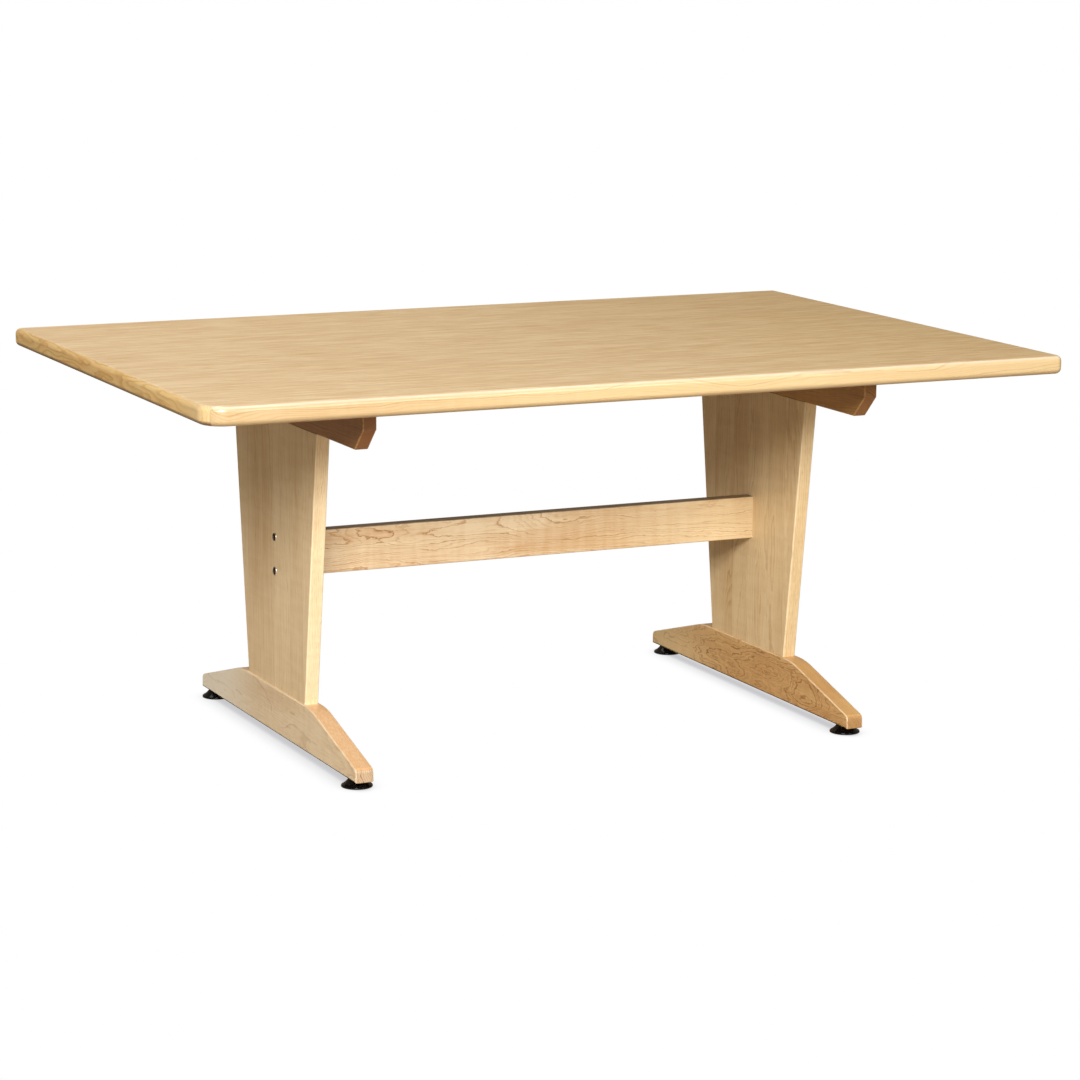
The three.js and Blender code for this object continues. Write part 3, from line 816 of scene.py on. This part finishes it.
def half_corner(direction, half_length, half_width, radius, end):
    """Stations from the middle of the corner at one end of an edge to where the edge is straight.

    They come in the order in which they are met going round the top."""
    angles = [math.pi / 4 * (1 - i / CORNER_STEPS) for i in range(CORNER_STEPS + 1)]
    if end > 0:
        angles.reverse()
    return [top_station(direction, half_length, half_width, radius, angle, end) for angle in angles]


def make_edging(name, direction, half_length, half_width, radii, depth):
    """One solid edging: the top's edge profile swept between two mitred corners."""
    _, profile = top_profile()
    high, low = profile[0][1], profile[-1][1]
    outward = Vector(direction)
    sections = []
    for end, radius in zip((-1, 1), radii):
        along = Vector((-outward.y, outward.x)) * end
        tip = along * half_length + outward * half_width
        across_mitre = (along - outward).normalized()
        inner = along * (half_length - depth - MITRE_GAP / math.sqrt(2)) + outward * (half_width - depth)

        def mitred(point):
            past = (point - tip).dot(across_mitre) + MITRE_GAP / 2
            return point - across_mitre * max(past, 0)

        for station in half_corner(direction, half_length, half_width, radius, end):
            section = [(mitred(station(inset)), height) for inset, height in profile]
            section += [(inner, low), (inner, high)]
            sections.append([(*place, height) for place, height in section])
    grain = "X" if direction[0] == 0 else "Y"
    finish_wood(piece(skinned(sections), name, edging_wood[grain], name))


def make_top():
    """The laminate sheet on its core and backer, inside four edgings."""
    half_x, half_y = cad_bounds[1].x, cad_bounds[1].y
    depth = half_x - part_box("top_core")[1].x
    small, large = TOP_CORNER_RADIUS, FRONT_LEFT_CORNER_RADIUS
    edges = {
        "front": ((0, -1), half_x, half_y, (large, small)),
        "right": ((1, 0), half_y, half_x, (small, small)),
        "back": ((0, 1), half_x, half_y, (small, small)),
        "left": ((-1, 0), half_y, half_x, (small, large)),
    }
    rim, _ = top_profile()
    plan = []
    for edge, (direction, half_length, half_width, radii) in edges.items():
        make_edging(f"top_edging_{edge}", direction, half_length, half_width, radii, depth)
        plan += half_corner(direction, half_length, half_width, radii[0], -1)
        plan += half_corner(direction, half_length, half_width, radii[1], 1)[:-1]

    sheet = skinned([[(*station(inset), height) for station in plan] for inset, height in rim])
    obj = piece(sheet, "top_laminate_sheet", laminate, "top_laminate")
    set_sharp(obj, SHARP_SHEET)
    keep_flats_flat(obj)

    paint("top_core", particleboard)
    paint("top_backer", backer)


def paint(node, material):
    """Gives a CAD node its material."""
    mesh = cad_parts[node].data
    mesh.materials.clear()
    mesh.materials.append(material)


# ---- Legs ----


def centre_of(node):
    low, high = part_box(node)
    return (low + high) / 2


def hole_for(node, overrun=0.0):
    """A cutter for the hole that an upright CAD dowel or insert stands in."""
    low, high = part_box(node)
    middle = (low + high) / 2
    radius = (high.x - low.x) / 2 + HOLE_CLEARANCE
    start = (middle.x, middle.y, low.z - HOLE_CLEARANCE - overrun)
    return rod(start, (middle.x, middle.y, high.z + HOLE_CLEARANCE), radius)


def dowel_holes(joint, side):
    """Cutters for the dowels between an upright and its foot or its cleat."""
    return [hole_for(f"{joint}_dowel_{side}_{index}") for index in DOWELS]


def bolt_holes(side):
    """Cutters for the bolts that go through an upright into the stretcher."""
    cutters = []
    for place in BOLT_PLACES:
        low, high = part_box(f"connector_bolt_{side}_{place}")
        middle = (low + high) / 2
        start = (low.x - CUTTER_OVERRUN, middle.y, middle.z)
        end = (high.x + CUTTER_OVERRUN, middle.y, middle.z)
        cutters.append(rod(start, end, BOLT_HOLE_RADIUS))
    return cutters


def make_upright(side):
    """A tapered board, bored for its dowels and bolts."""
    node = f"upright_{side}"
    low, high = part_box(node)
    verts = [v.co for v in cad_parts[node].data.vertices]
    foot_half = max(v.y for v in verts if v.z < low.z + MM)
    top_half = high.y
    outline = [Vector((-foot_half, low.z)), Vector((foot_half, low.z))]
    outline += [Vector((top_half, high.z)), Vector((-top_half, high.z))]

    def eased(edge):
        square = lies_at(edge, 2, low.z) or lies_at(edge, 2, high.z)
        return not square and not runs_along_x(edge)

    bm = board(outline, low.x, high.x, eased)
    obj = piece(bm, f"upright_board_{side}", upright_wood[side], node)
    finish_wood(obj, dowel_holes("foot", side) + dowel_holes("cleat", side) + bolt_holes(side))


def make_foot(side):
    """A long low rail with sloping ends, bored for its dowels and glides."""
    node = f"foot_{side}"
    low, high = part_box(node)
    end_top = low.z + FOOT_END_HEIGHT
    outline = rounded_outline(
        [
            (low.y, low.z, FOOT_SOLE_ROUNDING),
            (high.y, low.z, FOOT_SOLE_ROUNDING),
            (high.y, end_top, FOOT_END_ROUNDING),
            (FOOT_FLAT_HALF_LENGTH, high.z, FOOT_BEND_ROUNDING),
            (-FOOT_FLAT_HALF_LENGTH, high.z, FOOT_BEND_ROUNDING),
            (low.y, end_top, FOOT_END_ROUNDING),
        ]
    )
    bm = board(outline, low.x, high.x, lambda edge: not runs_along_x(edge))
    obj = piece(bm, f"foot_rail_{side}", foot_wood[side], node)
    seats = []
    for end in ENDS:
        middle = centre_of(f"glide_insert_{side}_{end}")
        hole_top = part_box(f"glide_stem_{side}_{end}")[1].z + STEM_HOLE_SPARE
        seats.append(hole_for(f"glide_insert_{side}_{end}", overrun=CUTTER_OVERRUN))
        seats.append(rod((middle.x, middle.y, low.z), (middle.x, middle.y, hole_top), STEM_HOLE_RADIUS))
    finish_wood(obj, dowel_holes("foot", side) + seats)


def make_cleat(side):
    """A bar with cut-off lower corners, bored for its dowels and screws."""
    node = f"cleat_{side}"
    low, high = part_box(node)
    outline = rounded_outline(
        [
            (low.y + CLEAT_CORNER_CUT, low.z, CLEAT_ROUNDING),
            (high.y - CLEAT_CORNER_CUT, low.z, CLEAT_ROUNDING),
            (high.y, low.z + CLEAT_CORNER_CUT, CLEAT_ROUNDING),
            (high.y, high.z, 0),
            (low.y, high.z, 0),
            (low.y, low.z + CLEAT_CORNER_CUT, CLEAT_ROUNDING),
        ]
    )

    def eased(edge):
        return not (runs_along_x(edge) or lies_at(edge, 2, high.z))

    bm = board(outline, low.x, high.x, eased)
    obj = piece(bm, f"cleat_bar_{side}", cleat_wood_painted_shade[side], node)
    ways = []
    for index in SCREWS:
        screw_low, screw_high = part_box(f"cleat_screw_{side}_{index}")
        x, y = (screw_low.x + screw_high.x) / 2, (screw_low.y + screw_high.y) / 2
        seat = screw_low.z + SCREW_HEAD_HEIGHT
        ways.append(rod((x, y, low.z - CUTTER_OVERRUN), (x, y, seat), SCREW_WAY_RADIUS))
        ways.append(rod((x, y, seat - MM), (x, y, high.z + CUTTER_OVERRUN), SCREW_HOLE_RADIUS))
    finish_wood(obj, dowel_holes("cleat", side) + ways)


def make_stretcher():
    """A board bored from its ends for the bolts, and from behind for the barrel nuts."""
    low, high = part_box("stretcher")
    corners = ((low.y, low.z), (high.y, low.z), (high.y, high.z), (low.y, high.z))
    outline = [Vector(corner) for corner in corners]
    bm = board(outline, low.x, high.x, runs_along_x)
    obj = piece(bm, "stretcher_board", stretcher_wood, "stretcher")
    cutters = []
    for side in SIDES:
        cutters += bolt_holes(side)
        for place in BOLT_PLACES:
            nut_low, nut_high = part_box(f"barrel_nut_{side}_{place}")
            middle = (nut_low + nut_high) / 2
            start = (middle.x, nut_low.y - HOLE_CLEARANCE, middle.z)
            end = (middle.x, high.y + CUTTER_OVERRUN, middle.z)
            cutters.append(rod(start, end, NUT_HOLE_RADIUS))
    finish_wood(obj, cutters)


# ---- Fasteners and glides ----


def make_bolt(side, place):
    """A connector bolt with a wide low head and a hexagon socket."""
    node = f"connector_bolt_{side}_{place}"
    low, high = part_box(node)
    middle = (low + high) / 2
    head, shank, tall, length = 9 * MM, 3 * MM, 3 * MM, high.x - low.x
    profile = [(0, 0), (head - 3.4 * MM, 0), (head - 2.4 * MM, 0.2 * MM), (head - 1.4 * MM, 0.7 * MM)]
    profile += [(head - 0.6 * MM, 1.4 * MM), (head - 0.15 * MM, 2.1 * MM), (head, 2.7 * MM), (head, tall)]
    profile += [(shank, tall), (shank, length - MM), (shank - MM, length), (0, length)]
    bm = turned(profile)
    sign = SIDES[side]
    turn = Matrix.Rotation(-sign * math.pi / 2, 4, "Y")
    outer = low.x if sign < 0 else high.x
    placed(bm, Matrix.Translation((outer, middle.y, middle.z)) @ turn)
    obj = piece(bm, f"bolt_{side}_{place}", dark_steel, node)
    socket_depth, socket_radius = 2.4 * MM, 3.4 * MM
    mouth = (outer + sign * CUTTER_OVERRUN, middle.y, middle.z)
    bottom = (outer - sign * socket_depth, middle.y, middle.z)
    drilled(obj, [rod(mouth, bottom, socket_radius, 6)])
    set_sharp(obj, SHARP_METAL)


def make_barrel_nut(side, place):
    """A cross dowel with its bolt's bore through it and a screwdriver slot in its outer end."""
    node = f"barrel_nut_{side}_{place}"
    low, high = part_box(node)
    middle = (low + high) / 2
    radius = (high.z - low.z) / 2
    bevel = 0.6 * MM
    length = high.y - low.y
    profile = [(0, 0), (radius - bevel, 0), (radius, bevel)]
    profile += [(radius, length - bevel), (radius - bevel, length), (0, length)]
    to_outer_end = Matrix.Translation((middle.x, high.y, middle.z))
    bm = placed(turned(profile), to_outer_end @ Matrix.Rotation(math.pi / 2, 4, "X"))
    obj = piece(bm, f"nut_{side}_{place}", steel, node)
    start = (middle.x - CUTTER_OVERRUN, middle.y, middle.z)
    end = (middle.x + CUTTER_OVERRUN, middle.y, middle.z)
    slot = bar((30 * MM, 2.4 * MM, 1.4 * MM), to_outer_end)
    drilled(obj, [rod(start, end, BOLT_HOLE_RADIUS), slot])
    set_sharp(obj, SHARP_METAL)


def make_screw(side, index):
    """A pan-head wood screw, head down, with a thread of shallow ridges and a cross recess."""
    node = f"cleat_screw_{side}_{index}"
    low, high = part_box(node)
    middle = (low + high) / 2
    head, shank, length = 5.5 * MM, 2.7 * MM, high.z - low.z
    core = shank * 0.78
    profile = [(0, 0), (head * 0.5, 0.1 * MM), (head * 0.8, 0.7 * MM), (head, 2.0 * MM)]
    profile += [(head, SCREW_HEAD_HEIGHT), (shank, SCREW_HEAD_HEIGHT)]
    thread_start, tip_length, pitch = 22 * MM, 6 * MM, 2.2 * MM
    turns = int((length - thread_start - tip_length) / pitch)
    for i in range(turns):
        start = thread_start + i * pitch
        profile += [(core, start), (shank, start + pitch * 0.35), (core, start + pitch * 0.7)]
    profile.append((0, length))
    to_head = Matrix.Translation((middle.x, middle.y, low.z))
    bm = placed(turned(profile, SCREW_STEPS), to_head)
    obj = piece(bm, f"screw_{side}_{index}", steel, node)
    arm_size = (5.2 * MM, 1.2 * MM, 3.6 * MM)
    turns_of_arms = (Matrix.Rotation(angle, 4, "Z") for angle in (0, math.pi / 2))
    drilled(obj, [bar(arm_size, to_head @ turn) for turn in turns_of_arms])
    set_sharp(obj, SHARP_METAL)


def pad_profile(radius, top, stem, collar):
    """The pad's (radius, height) outline: a dished cone outside, and the socket of its stem inside.

    stem and collar are the radii of the socket's neck and of its hollow."""
    rim = 3.5 * MM
    cone_start = Vector((radius - 1.2 * MM, rim + 0.5 * MM))
    cone_end = Vector((17.5 * MM, top - 0.8 * MM))
    profile = [(0, 0), (radius - 1.0 * MM, 0), (radius - 0.3 * MM, 0.3 * MM), (radius, 1.0 * MM)]
    profile += [(radius, rim - 0.8 * MM), (radius - 0.4 * MM, rim - 0.1 * MM), tuple(cone_start)]
    steps = 6
    for i in range(1, steps + 1):
        share = i / steps
        dish = 0.7 * MM * math.sin(math.pi * share)
        on_line = cone_start.lerp(cone_end, share)
        profile.append((on_line.x - dish, on_line.y - dish))
    profile += [(17.0 * MM, top - 0.2 * MM), (16.4 * MM, top), (stem, top)]
    profile += [(stem, 11.9 * MM), (collar, 9.4 * MM), (collar, 4.6 * MM), (0, 4.6 * MM)]
    return profile


def stem_profile(low, high, stem, collar, thread_start):
    """The stem's (radius, height) outline: a collar, a neck, and ridges for its thread."""
    pitch = 1.25 * MM
    profile = [(0, low), (collar, low), (collar, low + 4 * MM), (stem, low + 6.5 * MM)]
    height = thread_start
    while height < high - 2 * pitch:
        profile += [(stem - 0.55 * MM, height), (stem, height + pitch * 0.4)]
        profile.append((stem - 0.1 * MM, height + pitch * 0.6))
        height += pitch
    profile += [(stem - MM, high), (0, high)]
    return profile


def make_glide(side, end):
    """A cone-shaped pad, and the steel stem that turns in it."""
    key = f"{side}_{end}"
    low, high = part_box(f"glide_pad_{key}")
    stem_low, stem_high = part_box(f"glide_stem_{key}")
    middle = centre_of(f"glide_pad_{key}")
    to_middle = Matrix.Translation((middle.x, middle.y, 0))
    radius, stem, collar = (high.x - low.x) / 2, 4 * MM, (stem_high.x - stem_low.x) / 2
    gap = 0.45 * MM

    bm = placed(turned(pad_profile(radius, high.z, stem + gap, collar + gap), PAD_STEPS), to_middle)
    pad = piece(bm, f"pad_{key}", black_plastic, f"glide_pad_{key}", f"pad_{key}")
    set_sharp(pad, SHARP_METAL)

    profile = stem_profile(stem_low.z, stem_high.z, stem, collar, high.z + MM)
    bm = placed(turned(profile, STEM_STEPS), to_middle)
    shaft = piece(bm, f"stem_{key}", steel, f"glide_stem_{key}", f"stem_{key}")
    set_sharp(shaft, SHARP_THREAD)


# ---- Camera, light and floor ----


def make_camera():
    """The camera, aimed by a yaw from +Y towards +X, a pitch downwards and a small roll."""
    camera = bpy.data.objects.new("camera", bpy.data.cameras.new("camera"))
    bpy.context.scene.collection.objects.link(camera)
    bpy.context.scene.camera = camera
    camera.data.sensor_width = 36.0
    camera.data.lens = CAMERA_LENS
    camera.data.clip_end = 100.0
    level = math.cos(CAMERA_PITCH)
    ahead = Vector((math.sin(CAMERA_YAW) * level, math.cos(CAMERA_YAW) * level, -math.sin(CAMERA_PITCH)))
    right = ahead.cross(Vector((0, 0, 1))).normalized()
    up = right.cross(ahead)
    rolled_right = right * math.cos(CAMERA_ROLL) + up * math.sin(CAMERA_ROLL)
    rolled_up = up * math.cos(CAMERA_ROLL) - right * math.sin(CAMERA_ROLL)
    turn = Matrix((rolled_right, rolled_up, -ahead)).transposed()
    camera.matrix_world = Matrix.Translation(CAMERA_PLACE) @ turn.to_4x4()


def area_light(name, place, aim, size, watts):
    """A soft white light, aimed from place at aim."""
    light = bpy.data.objects.new(name, bpy.data.lights.new(name, "AREA"))
    bpy.context.scene.collection.objects.link(light)
    light.data.shape = "RECTANGLE"
    light.data.size, light.data.size_y = size
    light.data.energy = watts
    light.location = place
    light.rotation_mode = "QUATERNION"
    light.rotation_quaternion = (Vector(aim) - Vector(place)).to_track_quat("-Z", "Y")


def make_stage():
    """A pale studio floor with painted contact shadows, a white surround and soft lights."""
    floor_mesh = bmesh.new()
    bmesh.ops.create_grid(floor_mesh, x_segments=1, y_segments=1, size=40)
    mesh = bpy.data.meshes.new("floor")
    floor_mesh.to_mesh(mesh)
    floor_mesh.free()
    floor = bpy.data.objects.new("floor", mesh)
    bpy.context.scene.collection.objects.link(floor)
    material, nodes, shader = new_material("floor")
    shader.inputs["Base Color"].default_value = FLOOR_BOUNCE
    shader.inputs["Roughness"].default_value = 0.9
    # The camera sees the floor glowing white, with contact shadows painted in where ambient occlusion finds
    # the legs close by; every other ray sees its plain diffuse colour.
    near = nodes.add("ShaderNodeAmbientOcclusion", {"Distance": SHADOW_REACH}, samples=16)
    open_share = nodes.ramp(near.outputs["AO"], 0.08, 0.89)
    pale = nodes.mix(open_share, colour(188, 188, 192), (1, 1, 1, 1))
    lit = nodes.add("ShaderNodeEmission", {"Color": pale})
    seen = nodes.add("ShaderNodeLightPath").outputs["Is Camera Ray"]
    output = material.node_tree.nodes["Material Output"]
    both = nodes.add("ShaderNodeMixShader", {0: seen, 1: shader.outputs[0], 2: lit.outputs[0]})
    nodes.put(output.inputs["Surface"], both.outputs[0])
    mesh.materials.append(material)

    world = bpy.data.worlds.new("studio")
    bpy.context.scene.world = world
    world.use_nodes = True
    sky = Nodes(world.node_tree)
    background = world.node_tree.nodes["Background"]
    seen = sky.add("ShaderNodeLightPath").outputs["Is Camera Ray"]
    sky.put(background.inputs["Color"], sky.mix(seen, SKY_TINT, (1, 1, 1, 1)))
    strength = sky.math("MULTIPLY_ADD", seen, 1.0 - SKY_STRENGTH, SKY_STRENGTH)
    sky.put(background.inputs["Strength"], strength)

    area_light("key", (-2.6, -4.6, 3.0), (0, 0, 0.5), (2.0, 1.6), 345)
    area_light("front_fill", (1.6, -5.0, 2.4), (0, 0, 0.5), (2.0, 1.6), 60)
    area_light("overhead", (-0.8, 1.1, 2.5), (-0.2, 0.6, 0.8), (1.6, 1.4), 14)
    bpy.context.scene.view_settings.view_transform = "Standard"


# ---- Build ----

make_camera()
make_stage()
make_top()
make_stretcher()
for side in SIDES:
    make_upright(side)
    make_foot(side)
    make_cleat(side)
    for joint in ("foot", "cleat"):
        for index in DOWELS:
            paint(f"{joint}_dowel_{side}_{index}", dowel_wood)
    for index in SCREWS:
        make_screw(side, index)
    for place in BOLT_PLACES:
        make_bolt(side, place)
        make_barrel_nut(side, place)
    for end in ENDS:
        paint(f"glide_insert_{side}_{end}", brass)
        make_glide(side, end)
